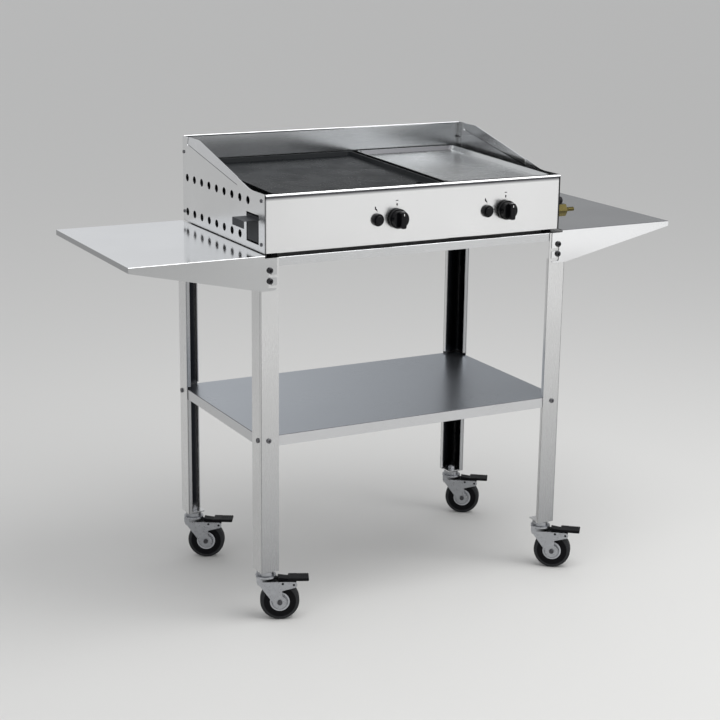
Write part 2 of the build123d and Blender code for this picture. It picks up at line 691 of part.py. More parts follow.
with BuildPart() as pedal:
    with BuildSketch(Plane.XZ.offset(pedal_width / 2)):
        with Locations((pedal_tip - pedal_tread / 2, pedal_tread_z + pedal_thickness / 2)):
            RectangleRounded(pedal_tread, pedal_thickness, pedal_round)
    extrude(amount=-pedal_width)
    groove_x = pedal_tip - pedal_round - pedal_groove_pitch * pedal_groove_count / 2
    with Locations((groove_x, 0, pedal_tread_z + pedal_thickness)):
        with GridLocations(pedal_groove_pitch, pedal_groove_pitch, pedal_groove_count, 1):
            Box(pedal_groove, pedal_width, 2 * pedal_groove_depth, mode=Mode.SUBTRACT)
    arm_start = crown_radius + pedal_arm_clear
    arm_end = pedal_tip - pedal_tread + 2 * pedal_round
    with BuildSketch(Plane.XZ.offset(pedal_arm_width / 2)):
        with BuildLine():
            Polyline(
                (arm_start, crown_bottom),
                (arm_end, pedal_tread_z + pedal_thickness / 2),
                (arm_end, pedal_tread_z),
                (arm_start, pedal_tread_z),
                close=True,
            )
        make_face()
    extrude(amount=-pedal_arm_width)
    # An ear each side of the tyre carries a pin that turns in the fork's cheek.
    ear_in = tyre_width / 2 + pedal_tyre_clear
    ear_out = fork_gap / 2 - pedal_fork_clear
    for s in (-1, 1):
        with BuildSketch(Plane.XZ.offset(-s * ear_out)):
            with BuildLine():
                Polyline(
                    (pedal_pivot_x, pedal_pivot_z + pedal_ear_round),
                    (arm_end, pedal_tread_z + pedal_thickness / 2),
                    (arm_end, pedal_tread_z),
                    (pedal_pivot_x, pedal_pivot_z - pedal_ear_round),
                    close=True,
                )
            make_face()
            with Locations((pedal_pivot_x, pedal_pivot_z)):
                Circle(pedal_ear_round)
        extrude(amount=s * (ear_out - ear_in))
        with Locations((pedal_pivot_x, s * (ear_in + fork_outside) / 2, pedal_pivot_z)):
            Cylinder(pedal_pin_radius, fork_outside - ear_in, rotation=along_y)
    # The shoe hangs under the tread, over the tyre.
    with BuildSketch(Plane.XZ.offset(pedal_arm_width / 2)):
        with Locations((pedal_shoe_x, pedal_shoe_z)):
            Circle(pedal_shoe_radius)
        with Locations((pedal_shoe_x, (pedal_shoe_z + pedal_tread_z) / 2)):
            Rectangle(2 * pedal_shoe_radius, pedal_tread_z - pedal_shoe_z)
    extrude(amount=-pedal_arm_width)

for name, (side, end) in corners.items():
    swivel = Location((side * caster_x, end * caster_y, 0), (0, 0, headings[name]))
    wheel = swivel * Location((caster_trail, 0, wheel_radius))
    keep(fork.part.moved(swivel), f"caster_fork_{name}")
    keep(pedal.part.moved(swivel), f"brake_pedal_{name}")
    keep(axle.part.moved(wheel), f"axle_{name}")
    keep(hub.part.moved(wheel), f"wheel_hub_{name}")
    keep(tyre.part.moved(wheel), f"tyre_{name}")

# King bolts of the casters, with dome nuts on the legs' foot plates
king_low = crown_bottom - king_head_gap
with BuildPart() as king_bolt:
    with BuildSketch(Plane.XY.offset(king_low)):
        Circle(king_head_radius)
    extrude(amount=-king_head)
    with BuildSketch(Plane.XY.offset(king_low)):
        Circle(king_radius)
    extrude(amount=caster_height + king_thread - king_low)
    with BuildSketch(Plane.XY.offset(caster_height)):
        Circle(king_shoulder_radius)
    extrude(amount=-king_shoulder)
with BuildPart() as dome_nut:
    with BuildSketch(Plane.XY.offset(caster_height + foot_plate)):
        RegularPolygon(dome_nut_radius, 6)
    extrude(amount=dome_nut_hex)
    with Locations((0, 0, caster_height + foot_plate + dome_nut_hex)):
        Sphere(dome_radius, arc_size1=0)
    with Locations((0, 0, caster_height)):
        Cylinder(king_radius + fit_gap, 2 * (king_thread + fit_gap), mode=Mode.SUBTRACT)
with BuildPart() as caster_bolts:
    with Locations(*[(side * caster_x, end * caster_y, 0) for side, end in corners.values()]):
        add(king_bolt.part)
        add(dome_nut.part)
keep(caster_bolts.part, "caster_bolts")

# Side panels: a flat sheet whose sloped top edge leans in above a crease
slope_front = body_front + panel_front_flat
slope_back = body_back - panel_back_flat
crease_a = Vector(0, body_front + crease_back, body_bottom + crease_back_rise)
crease_b = Vector(0, body_front + crease_front, body_bottom + crease_front_rise)
crease_dir = (crease_b - crease_a).normalized()
crease_up = Vector(0, crease_dir.Z, -crease_dir.Y)
slope_rate = (back_top - front_top) / (slope_back - slope_front)
strip_front_top = front_top + slope_rate * (crease_b.Y - slope_front)
strip_points = (
    (crease_a.Y, crease_a.Z),
    (crease_b.Y, crease_b.Z),
    (crease_b.Y, strip_front_top),
    (slope_back, back_top),
    (crease_a.Y, back_top),
)
for name, side in (("left", -1), ("right", 1)):
    outward = Vector(side, 0, 0)
    lean = radians(crease_bend)
    strip_plane = Plane(
        origin=(side * half_body, crease_a.Y, crease_a.Z),
        x_dir=crease_dir,
        z_dir=outward * cos(lean) + crease_up * sin(lean),
    )
    with BuildPart() as panel:
        with BuildSketch(Plane.YZ.offset(side * half_body)) as sheet:
            with BuildLine():
                Polyline(
                    (body_front, body_bottom),
                    (body_front, front_top),
                    (slope_front, front_top),
                    (slope_back, back_top),
                    (body_back, back_top),
                    (body_back, body_bottom),
                    close=True,
                )
            make_face()
            fillet(sheet.vertices().sort_by_distance((slope_front, front_top))[0], panel_sweep)
            with BuildLine():
                Polyline(*strip_points, close=True)
            make_face(mode=Mode.SUBTRACT)
            with Locations((crease_a.Y, crease_a.Z)):
                Circle(crease_hole, mode=Mode.SUBTRACT)
            vent_start = body_back - vent_from_back
            high = [(vent_start - k * vent_pitch, body_bottom + vent_high) for k in range(vent_count_high)]
            low = [(vent_start - k * vent_pitch, body_bottom + vent_low) for k in range(vent_count_low)]
            with Locations(*high, *low):
                Circle(vent_radius, mode=Mode.SUBTRACT)
            screws = [(body_front + panel_screw_front, body_bottom + z) for z in front_screw_rises]
            screws += [(body_back - panel_screw_back, body_bottom + z) for z in back_screw_rises]
            with Locations(*screws):
                Circle(panel_screw_radius + hole_clear, mode=Mode.SUBTRACT)
            if side < 0:
                with Locations((tray_y, tray_bottom + tray_height / 2)):
                    Rectangle(tray_width + 2 * tray_clear, tray_height + 2 * tray_clear, mode=Mode.SUBTRACT)
            else:
                with Locations((pipe_y, pipe_z)):
                    Circle(inlet_hole, mode=Mode.SUBTRACT)
                with Locations((body_front + plug_behind, pipe_z + plug_rise)):
                    Circle(plug_neck_radius + hole_clear, mode=Mode.SUBTRACT)
        extrude(amount=-side * panel_sheet)
        with BuildSketch(strip_plane):
            with BuildLine():
                local = []
                for y, z in strip_points:
                    place = Vector(0, y, z) - crease_a
                    local.append((place.dot(crease_dir), -side * place.dot(crease_up)))
                Polyline(*local, close=True)
            make_face()
        extrude(amount=-panel_sheet)
        # A slit frees the strip at each end.
        strip_height = back_top - crease_b.Z
        for y in (crease_a.Y, crease_b.Y):
            low_z = crease_a.Z if y == crease_a.Y else crease_b.Z
            with Locations((side * inside_x, y, low_z + strip_height / 2)):
                Box(strip_height, slit, strip_height, mode=Mode.SUBTRACT)
    keep(panel.part, f"{name}_panel")

# Front panel: face, side flanges and the rolled bead along the top
face_top = front_top - bead_radius
with BuildPart() as front_panel:
    with BuildSketch(Plane.XY.offset(floor_bottom)) as section:
        with Locations((0, body_front + front_return / 2)):
            Rectangle(2 * skin_x, front_return)
        fillet(section.vertices().group_by(Axis.Y)[0], fold_radius)
        with Locations((0, body_front + skin_sheet + front_return / 2)):
            Rectangle(2 * (skin_x - skin_sheet), front_return, mode=Mode.SUBTRACT)
    extrude(amount=face_top - floor_bottom)
    # The side flanges start above the floor pan.
    with Locations((0, front_inside + front_return / 2, floor_bottom)):
        Box(body_width, front_return, 2 * (skin_sheet + floor_raise), mode=Mode.SUBTRACT)
    with BuildSketch(Plane.YZ.offset(-skin_x)):
        with Locations((body_front + bead_radius - bead_proud, front_top - bead_radius)):
            Circle(bead_radius)
    extrude(amount=2 * skin_x)
    with Locations(*[(x, body_front + skin_sheet / 2, control_z) for x in knob_xs]):
        Cylinder(stem_hole, 2 * skin_sheet, rotation=along_y, mode=Mode.SUBTRACT)
    igniter_hole = igniter_barrel_radius + igniter_hole_clear
    with Locations(*[(x, body_front + skin_sheet / 2, control_z) for x in igniter_xs]):
        Cylinder(igniter_hole, 2 * skin_sheet, rotation=along_y, mode=Mode.SUBTRACT)
    flange_middle = skin_x - skin_sheet / 2
    spots = [
        (s * flange_middle, body_front + panel_screw_front, body_bottom + z)
        for s in (-1, 1)
        for z in front_screw_rises
    ]
    with Locations(*spots):
        Cylinder(panel_screw_radius + hole_clear, 2 * skin_sheet, rotation=along_x, mode=Mode.SUBTRACT)
    with Locations((flange_middle, pipe_y, pipe_z)):
        Cylinder(inlet_hole, 2 * skin_sheet, rotation=along_x, mode=Mode.SUBTRACT)
    with Locations((flange_middle, body_front + plug_behind, pipe_z + plug_rise)):
        Cylinder(plug_neck_radius + hole_clear, 2 * skin_sheet, rotation=along_x, mode=Mode.SUBTRACT)
keep(front_panel.part, "front_panel")

# Back panel: the splash behind the plates, side flanges and a hem along the top
with BuildPart() as back_panel:
    with BuildSketch(Plane.XY.offset(floor_bottom)) as section:
        with Locations((0, body_back - back_return / 2)):
            Rectangle(2 * skin_x, back_return)
        fillet(section.vertices().group_by(Axis.Y)[-1], fold_radius)
        with Locations((0, body_back - skin_sheet - back_return / 2)):
            Rectangle(2 * (skin_x - skin_sheet), back_return, mode=Mode.SUBTRACT)
    extrude(amount=back_top - hem_radius - floor_bottom)
    with Locations((0, back_inside - back_return / 2, floor_bottom)):
        Box(body_width, back_return, 2 * (skin_sheet + floor_raise), mode=Mode.SUBTRACT)
    with BuildSketch(Plane.YZ.offset(-skin_x)):
        with Locations((body_back - hem_radius, back_top + hem_proud - hem_radius)):
            Circle(hem_radius)
    extrude(amount=2 * skin_x)
    spots = [
        (s * flange_middle, body_back - panel_screw_back, body_bottom + z)
        for s in (-1, 1)
        for z in back_screw_rises
    ]
    with Locations(*spots):
        Cylinder(panel_screw_radius + hole_clear, 2 * skin_sheet, rotation=along_x, mode=Mode.SUBTRACT)
keep(back_panel.part, "back_panel")

# Floor pan, with a flange against each side panel between the other panels' flanges
with BuildPart() as floor_pan:
    with Locations((0, (front_inside + back_inside) / 2, floor_bottom + skin_sheet / 2)):
        Box(2 * inside_x, back_inside - front_inside, skin_sheet)
    flange_from = body_front + front_return + butt_gap
    flange_to = body_back - back_return - butt_gap
    flange_y = (flange_from + flange_to) / 2
    for s in (-1, 1):
        with Locations((s * (inside_x - skin_sheet / 2), flange_y, floor_bottom + floor_flange / 2)):
            Box(skin_sheet, flange_to - flange_from, floor_flange)
keep(floor_pan.part, "floor_pan")

# Feet between the floor pan and the rails
with BuildPart() as body_feet:
    foot_height = floor_bottom - frame_top
    foot_x = half_body - foot_inset_x
    foot_ys = (body_front + foot_inset_y, body_back - foot_inset_y)
    with Locations(*[(s * foot_x, y, frame_top + foot_height / 2) for s in (-1, 1) for y in foot_ys]):
        Cylinder(foot_radius, foot_height)
keep(body_feet.part, "body_feet")

# Panel screws: one along +X with its seat at the origin, then one at each spot
with BuildPart() as panel_screw:
    with BuildSketch(Plane.YZ):
        Circle(panel_screw_head_radius)
    extrude(amount=-panel_screw_head)
    fillet(panel_screw.edges().group_by(Axis.X)[0], panel_screw_round)
    with BuildSketch(Plane.YZ.offset(-panel_screw_head)):
        Rectangle(panel_cross_length, panel_cross_width)
        Rectangle(panel_cross_width, panel_cross_length)
    extrude(amount=panel_cross_depth, mode=Mode.SUBTRACT)
    with BuildSketch(Plane.YZ):
        Circle(panel_screw_radius)
    extrude(amount=panel_sheet + skin_sheet + panel_screw_tail)
with BuildPart() as panel_screws:
    for side, turn in ((-1, 0), (1, 180)):
        spots = [(body_front + panel_screw_front, body_bottom + z) for z in front_screw_rises]
        spots += [(body_back - panel_screw_back, body_bottom + z) for z in back_screw_rises]
        with Locations(*[Location((side * half_body, y, z), (0, 0, turn)) for y, z in spots]):
            add(panel_screw.part)
keep(panel_screws.part, "panel_screws")

# Griddle plates: shallow pans with a flared rim, falling towards the front
for name, (low_x, high_x) in plate_edges.items():
    middle = (low_x + high_x) / 2
    width = high_x - low_x
    drain_x = high_x - drain_from_gap if name == "left" else low_x + drain_from_gap
    spread = 2 * rim_flare
    inner_spread = spread - 2 * rim_wall
    with BuildPart() as plate:
        with BuildSketch(plate_plane.offset(-plate_sheet)):
            with Locations((middle, 0)):
                RectangleRounded(width, plate_depth, plate_corner)
        with BuildSketch(plate_plane.offset(rim_height)):
            with Locations((middle, 0)):
                RectangleRounded(width + spread, plate_depth + spread, plate_corner)
        loft(ruled=True)
        with BuildSketch(plate_plane):
            with Locations((middle, 0)):
                RectangleRounded(width, plate_depth, plate_corner)
        with BuildSketch(plate_plane.offset(rim_height)):
            with Locations((middle, 0)):
                RectangleRounded(width + inner_spread, plate_depth + inner_spread, plate_corner)
        loft(ruled=True, mode=Mode.SUBTRACT)
        with BuildSketch(plate_plane):
            with Locations((drain_x, drain_inset - plate_depth / 2)):
                Circle(drain_radius)
        extrude(amount=-2 * plate_sheet, mode=Mode.SUBTRACT)
    keep(plate.part, f"{name}_griddle_plate")

# Plate supports: an angle bar across the body under the plates' front and another under their back
support_front = (body_front + front_return + support_clear - plate_y) / cos(plate_tilt)
support_rear = plate_depth / 2 - support_inset
with BuildPart() as plate_supports:
    for edge, inward in ((support_front, 1), (support_rear, -1)):
        with BuildSketch(plate_plane.offset(-plate_sheet - seat_gap)):
            with Locations((0, edge + inward * support_width / 2)):
                Rectangle(2 * (inside_x - seat_gap), support_width)
        extrude(amount=-support_sheet)
        with BuildSketch(plate_plane.offset(-plate_sheet - seat_gap)):
            with Locations((0, edge + inward * support_sheet / 2)):
                Rectangle(2 * (inside_x - seat_gap), support_sheet)
        extrude(amount=-support_web)
keep(plate_supports.part, "plate_supports")

# Burners: a tube with a mouth at the front, cross arms and a bracket at each end
burner_y = body_front + burner_front
burner_xs = {"left": sum(plate_edges["left"]) / 2, "right": knob_xs[1]}
arm_y = burner_y + burner_arm_y
for name, burner_x in burner_xs.items():
    low_x, high_x = plate_edges[name]
    arm_half = min(high_x - burner_x, burner_x - low_x) - burner_arm_share_gap
    with BuildPart() as burner:
        with Locations((burner_x, burner_y + burner_length / 2, control_z)):
            Cylinder(burner_radius, burner_length, rotation=along_y)
        with Locations((burner_x, burner_y - burner_mouth / 2, control_z)):
            Cylinder(burner_mouth_radius, burner_mouth, rotation=along_y)
        with Locations((burner_x, arm_y, control_z)):
            Cylinder(burner_arm_radius, 2 * arm_half, rotation=along_x)
        bracket_height = control_z + bracket_rise - floor_top
        bracket_ys = (burner_y + bracket_sheet / 2, burner_y + burner_length - bracket_sheet / 2)
        with Locations(*[(burner_x, y, floor_top + bracket_height / 2) for y in bracket_ys]):
            Box(bracket_width, bracket_sheet, bracket_height)
        # The tubes are hollow, with a row of flame ports along the top.
        with Locations((burner_x, burner_y + burner_length / 2, control_z)):
            hollow = burner_length - 2 * bracket_sheet
            Cylinder(burner_radius - burner_wall, hollow, rotation=along_y, mode=Mode.SUBTRACT)
        with Locations((burner_x, burner_y - burner_mouth / 2, control_z)):
            mouth = burner_mouth + 2 * bracket_sheet
            Cylinder(burner_mouth_radius - burner_wall, mouth, rotation=along_y, mode=Mode.SUBTRACT)
        with Locations((burner_x, arm_y, control_z)):
            inside = 2 * (arm_half - burner_wall)
            Cylinder(burner_arm_radius - burner_wall, inside, rotation=along_x, mode=Mode.SUBTRACT)
        port_count = int((burner_length - 2 * port_pitch) / port_pitch) + 1
        with Locations((burner_x, burner_y + burner_length / 2, control_z + burner_radius)):
            with GridLocations(port_pitch, port_pitch, 1, port_count):
                Cylinder(port_radius, 4 * burner_wall, mode=Mode.SUBTRACT)
        with Locations((burner_x + electrode_side, burner_y + bracket_sheet / 2, control_z + electrode_up)):
            Cylinder(electrode_radius + fit_gap, 2 * bracket_sheet, rotation=along_y, mode=Mode.SUBTRACT)
    keep(burner.part, f"{name}_burner")

# Spark electrodes, held in the burners' front brackets
with BuildPart() as spark_electrodes:
    rod_middle = burner_y - electrode_lead + electrode_length / 2
    tip_middle = rod_middle + electrode_length / 2 + spark_length / 2
    for burner_x in burner_xs.values():
        with Locations((burner_x + electrode_side, rod_middle, control_z + electrode_up)):
            Cylinder(electrode_radius, electrode_length, rotation=along_y)
        with Locations((burner_x + electrode_side, tip_middle, control_z + electrode_up)):
            Cylinder(spark_radius, spark_length, rotation=along_y)
keep(spark_electrodes.part, "spark_electrodes")

# Gas valves: a block on the front panel's back, astride the manifold
valve_back = front_inside + valve_depth
with BuildPart() as gas_valves:
    for x in knob_xs:
        valve_height = control_z + valve_rise - pipe_z
        with Locations((x, front_inside + valve_depth / 2, pipe_z + valve_height / 2)):
            Box(valve_width, valve_depth, valve_height)
        with Locations((x, front_inside + valve_bore / 2, control_z)):
            Cylinder(stem_radius + running_clear, valve_bore, rotation=along_y, mode=Mode.SUBTRACT)
        with Locations((x, pipe_y, pipe_z)):
            Cylinder(pipe_radius + running_clear, 2 * valve_width, rotation=along_x, mode=Mode.SUBTRACT)
keep(gas_valves.part, "gas_valves")

# Gas pipes: the manifold, a bent tube under the grease tray and a straight one to the right burner
injector_y = burner_y - burner_mouth
left_x, right_x = knob_xs
pipe_start = left_x - pipe_end
pipe_stop = skin_x - skin_sheet - butt_gap
tube_z = floor_top + tube_floor_gap + tube_radius
tube_up_y = injector_y - injector_clear - tube_radius
injector_start = tube_up_y - tube_radius - injector_wall
injector_end = injector_y + injector_reach
with BuildPart() as gas_pipes:
    with Locations(((pipe_start + pipe_stop) / 2, pipe_y, pipe_z)):
        Cylinder(pipe_radius, pipe_stop - pipe_start, rotation=along_x)
    with Locations(((pipe_start + pipe_stop) / 2 + pipe_bore, pipe_y, pipe_z)):
        Cylinder(pipe_bore, pipe_stop - pipe_start, rotation=along_x, mode=Mode.SUBTRACT)
    tube_x = left_x - valve_width / 2 - tube_offset
    with BuildLine() as route:
        FilletPolyline(
            (left_x - valve_width / 2, pipe_y, control_z),
            (tube_x, pipe_y, control_z),
            (tube_x, pipe_y, tube_z),
            (burner_xs["left"], tube_up_y, tube_z),
            (burner_xs["left"], tube_up_y, control_z),
            radius=tube_bend,
        )
    with BuildSketch(Plane.YZ.offset(left_x - valve_width / 2)):
        with Locations((pipe_y, control_z)):
            Circle(tube_radius)
    sweep(path=route.wires()[0])
    with Locations((burner_xs["left"], (injector_start + injector_end) / 2, control_z)):
        Cylinder(injector_radius, injector_end - injector_start, rotation=along_y)
    straight = injector_end - valve_back
    with Locations((burner_xs["right"], valve_back + straight / 2, control_z)):
        Cylinder(tube_radius, straight, rotation=along_y)
keep(gas_pipes.part, "gas_pipes")

# Valve stems and knobs
knob_back = body_front - knob_standoff
stem_end = knob_back - knob_bore_depth
for name, x in (("left", left_x), ("right", right_x)):
    with BuildPart() as stem:
        with BuildSketch(Plane.XZ.offset(-front_inside - stem_inside)):
            with Locations((x, control_z)):
                Circle(stem_radius)
        extrude(amount=front_inside + stem_inside - stem_end - running_clear)
    keep(stem.part, f"{name}_valve_stem")
    with BuildPart() as knob:
        with BuildSketch(Plane.XZ.offset(-knob_back)):
            with Locations((x, control_z)):
                Circle(knob_radius)
        extrude(amount=knob_skirt)
        with BuildSketch(Plane.XZ.offset(-knob_back + knob_skirt)):
            with Locations((x, control_z)):
                Circle(knob_body_radius)
        with BuildSketch(Plane.XZ.offset(-knob_back + knob_body)):
            with Locations((x, control_z)):
                Circle(knob_face_radius)
        loft()
        with BuildSketch(Plane.XZ.offset(-knob_back + knob_body)):
            with Locations((x, control_z)):
                RectangleRounded(knob_grip_width, 2 * knob_face_radius, knob_grip_round)
        extrude(amount=knob_grip)
        fillet(knob.edges().group_by(Axis.Y)[0], knob_round)
        with BuildSketch(Plane.XZ.offset(-knob_back)):
            with Locations((x, control_z)):
                Circle(stem_radius + running_clear)
        extrude(amount=knob_bore_depth, mode=Mode.SUBTRACT)
    keep(knob.part, f"{name}_knob")

# Igniters: a body with a bezel in the front panel, and a push button in it
bezel_front = body_front - igniter_bezel
barrel_end = front_inside + igniter_barrel
with BuildPart() as igniter_bodies:
    for x in igniter_xs:
        with BuildSketch(Plane.XZ.offset(-body_front)):
            with Locations((x, control_z)):
                Circle(igniter_radius)
        extrude(amount=igniter_bezel)
        with BuildSketch(Plane.XZ.offset(-body_front)):
            with Locations((x, control_z)):
                Circle(igniter_barrel_radius)
        extrude(amount=-(barrel_end - body_front))
    chamfer(igniter_bodies.edges().group_by(Axis.Y)[0], bezel_chamfer)
    for x in igniter_xs:
        with BuildSketch(Plane.XZ.offset(-bezel_front)):
            with Locations((x, control_z)):
                Circle(button_radius + button_clear)
        extrude(amount=-button_seat, mode=Mode.SUBTRACT)
        with BuildSketch(Plane.XZ.offset(-bezel_front)):
            with Locations((x, control_z)):
                Circle(plunger_radius + button_clear)
        extrude(amount=-(barrel_end - igniter_floor - bezel_front), mode=Mode.SUBTRACT)
keep(igniter_bodies.part, "igniter_bodies")
for name, x in zip(("left", "right"), igniter_xs):
    with BuildPart() as button:
        with BuildSketch(Plane.XZ.offset(-bezel_front + button_proud)):
            with Locations((x, control_z)):
                Circle(button_radius)
        extrude(amount=-button_cap)
        fillet(button.edges().group_by(Axis.Y)[0], button_round)
        with BuildSketch(Plane.XZ.offset(-bezel_front + button_proud - button_cap)):
            with Locations((x, control_z)):
                Circle(plunger_radius)
        extrude(amount=-plunger_length)
    keep(button.part, f"{name}_igniter_button")

# Gas inlet: a brass nozzle along +X through the right panel, and a plug above it
hex_front = half_body + inlet_hex_length
nozzle_tip = hex_front + nozzle_length
with BuildPart() as gas_inlet:
    with BuildSketch(Plane.YZ.offset(pipe_stop)):
        with Locations((pipe_y, pipe_z)):
            Circle(inlet_hole - hole_clear)
    extrude(amount=half_body - pipe_stop)
    with BuildSketch(Plane.YZ.offset(half_body)):
        with Locations((pipe_y, pipe_z)):
            RegularPolygon(inlet_hex, 6, major_radius=False)
    extrude(amount=inlet_hex_length)
    with BuildSketch(Plane.YZ.offset(hex_front)):
        with Locations((pipe_y, pipe_z)):
            Circle(nozzle_radius)
    extrude(amount=nozzle_length)
    for k in range(nozzle_barbs):
        barb_x = hex_front + k * nozzle_barb_length + nozzle_barb_length / 2
        with Locations(Location((barb_x, pipe_y, pipe_z), along_x)):
            Cone(nozzle_radius + nozzle_barb, nozzle_radius, nozzle_barb_length)
    with BuildSketch(Plane.YZ.offset(pipe_stop)):
        with Locations((pipe_y, pipe_z)):
            Circle(nozzle_bore)
    extrude(amount=nozzle_tip - pipe_stop, mode=Mode.SUBTRACT)
keep(gas_inlet.part, "gas_inlet")
with BuildPart() as inlet_plug:
    plug_place = (body_front + plug_behind, pipe_z + plug_rise)
    with BuildSketch(Plane.YZ.offset(half_body)):
        with Locations(plug_place):
            Circle(plug_radius)
    extrude(amount=plug_length)
    fillet(inlet_plug.edges().group_by(Axis.X)[-1], plug_round)
    with BuildSketch(Plane.YZ.offset(half_body)):
        with Locations(plug_place):
            Circle(plug_neck_radius)
    extrude(amount=-(panel_sheet + 2 * skin_sheet))
keep(inlet_plug.part, "inlet_plug")

# Grease tray: an open box with a turned-down handle outside the left panel
tray_end = -half_body
tray_top = tray_bottom + tray_height
handle_top = tray_top - handle_drop
with BuildPart() as grease_tray:
    with Locations((tray_end + tray_length / 2, tray_y, tray_bottom + tray_height / 2)):
        Box(tray_length, tray_width, tray_height)
    with Locations((tray_end + tray_length / 2, tray_y, tray_bottom + skin_sheet + tray_height / 2)):
        Box(tray_length - 2 * skin_sheet, tray_width - 2 * skin_sheet, tray_height, mode=Mode.SUBTRACT)
    with Locations((tray_end - handle_reach / 2, tray_y, handle_top - skin_sheet / 2)):
        Box(handle_reach, handle_width, skin_sheet)
    with Locations((tray_end - handle_reach + skin_sheet / 2, tray_y, handle_top - handle_lip / 2)):
        Box(skin_sheet, handle_width, handle_lip)
keep(grease_tray.part, "grease_tray")

# Cradles that the tray slides on
cradle_inside = tray_width / 2 + cradle_side_clear
cradle_seat = tray_bottom - seat_gap
with BuildPart() as tray_guides:
    for step in (cradle_left, cradle_middle, cradle_right):
        x = tray_end + step
        with Locations((x, tray_y, cradle_seat - cradle_sheet / 2)):
            Box(cradle_length, 2 * cradle_inside, cradle_sheet)
        cheek_height = cradle_seat + cradle_hold - floor_top
        for s in (-1, 1):
            cheek_y = tray_y + s * (cradle_inside + cradle_sheet / 2)
            with Locations((x, cheek_y, floor_top + cheek_height / 2)):
                Box(cradle_length, cradle_sheet, cheek_height)
keep(tray_guides.part, "tray_guides")

# The origin goes to the floor, under the middle of the box round the whole object.
boxes = [piece.bounding_box() for piece in finished]
middle_x = (min(b.min.X for b in boxes) + max(b.max.X for b in boxes)) / 2
middle_y = (min(b.min.Y for b in boxes) + max(b.max.Y for b in boxes)) / 2
origin = Location((-middle_x, -middle_y, 0))
os.makedirs("parts", exist_ok=True)
for piece in finished:
    placed = piece.moved(origin)
    placed.label = piece.label
    export_step(placed, f"parts/{piece.label}.step")
print(f"{len(finished)} pieces, origin moved by {-middle_x:.3f}, {-middle_y:.3f}")
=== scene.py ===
from math import cos, pi, sin

import bmesh
import bpy
from mathutils import Matrix, Vector


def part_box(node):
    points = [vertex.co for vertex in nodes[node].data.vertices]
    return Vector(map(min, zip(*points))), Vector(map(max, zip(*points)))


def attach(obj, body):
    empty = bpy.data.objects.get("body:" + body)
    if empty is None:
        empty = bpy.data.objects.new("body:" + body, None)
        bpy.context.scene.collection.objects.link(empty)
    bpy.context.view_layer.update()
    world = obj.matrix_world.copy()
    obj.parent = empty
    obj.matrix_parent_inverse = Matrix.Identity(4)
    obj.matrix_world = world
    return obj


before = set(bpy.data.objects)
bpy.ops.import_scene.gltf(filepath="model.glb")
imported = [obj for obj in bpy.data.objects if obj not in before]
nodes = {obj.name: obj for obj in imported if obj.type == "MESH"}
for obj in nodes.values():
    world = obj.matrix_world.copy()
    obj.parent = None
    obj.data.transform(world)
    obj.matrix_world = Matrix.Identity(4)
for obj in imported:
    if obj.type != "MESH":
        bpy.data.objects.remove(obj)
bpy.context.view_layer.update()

scene = bpy.context.scene
CORNERS = ("front_left", "front_right", "rear_left", "rear_right")
SIDES = ("left", "right")

# The camera stands where the photograph was taken from.
# Lengths are in metres, but for the lens, its sensor and the marks' outlines, which are in millimetres.
CAMERA_EYE = Vector((-1.6447, -3.0560, 1.3838))
CAMERA_LOOK = Vector((0.45129, 0.85483, -0.25614))
CAMERA_UP = Vector((0.10828, 0.23245, 0.96656))
CAMERA_LENS = 83.61
SENSOR = 36.0

# Studio
FLOOR_COLOUR = (0.63, 0.625, 0.61)
FLOOR_SIZE = 80.0
FLOOR_ROUGHNESS = 0.75
SKY_LEVEL = 0.78
SKY_TONES = {    # by the sine of the height above the horizon
    0.0: (0.62, 0.63, 0.65),
    0.1: (0.82, 0.84, 0.87),
    0.24: (0.88, 0.89, 0.90),
    0.5: (0.95, 0.96, 0.98),
}
CARD_WAY = Vector((0.69, 0.72, 0.2)).normalized()    # grey card behind the object, to the right
CARD_TONE = 0.42
CARD_EDGE = 0.925    # cosines from the card's middle to its edge, and to where it is full
CARD_FULL = 0.99
OBJECT_MIDDLE = Vector((0.0, 0.0, 0.6))
FRONT_FLOOR = Vector((1.0, -1.6, 0.0))
OPEN_FAN = pi
NARROW_FAN = 2.0    # keeps the front lamp off the floor below it
LAMPS = (    # name, place, aim, size, watts and the angle that the light fans out to
    ("top_lamp", Vector((0.5, -0.8, 2.7)), Vector(), 1.8, 38.0, OPEN_FAN),
    ("floor_lamp", Vector((2.4, -2.6, 2.4)), FRONT_FLOOR, 1.6, 22.0, OPEN_FAN),
    ("front_lamp", Vector((1.9, -3.2, 1.02)), OBJECT_MIDDLE, 2.0, 2.1, NARROW_FAN),
    ("side_lamp", Vector((-2.6, -1.4, 2.2)), OBJECT_MIDDLE, 1.6, 5.0, OPEN_FAN),
)

# Sizes that the frame's nodes were made with
LEG_SHEET = 0.002
BEAD_RADIUS = 0.0035
BEAD_PROUD = 0.0027
CREASE_FRONT = Vector((0.132, 0.1157))    # Y and Z from a side panel's lower front corner
CREASE_BACK = Vector((0.387, 0.164))
KNOB_SKIRT = 0.004    # depths from a knob's back
KNOB_BODY = 0.015
KNOB_BODY_RADIUS = 0.0184
KNOB_FACE_RADIUS = 0.017

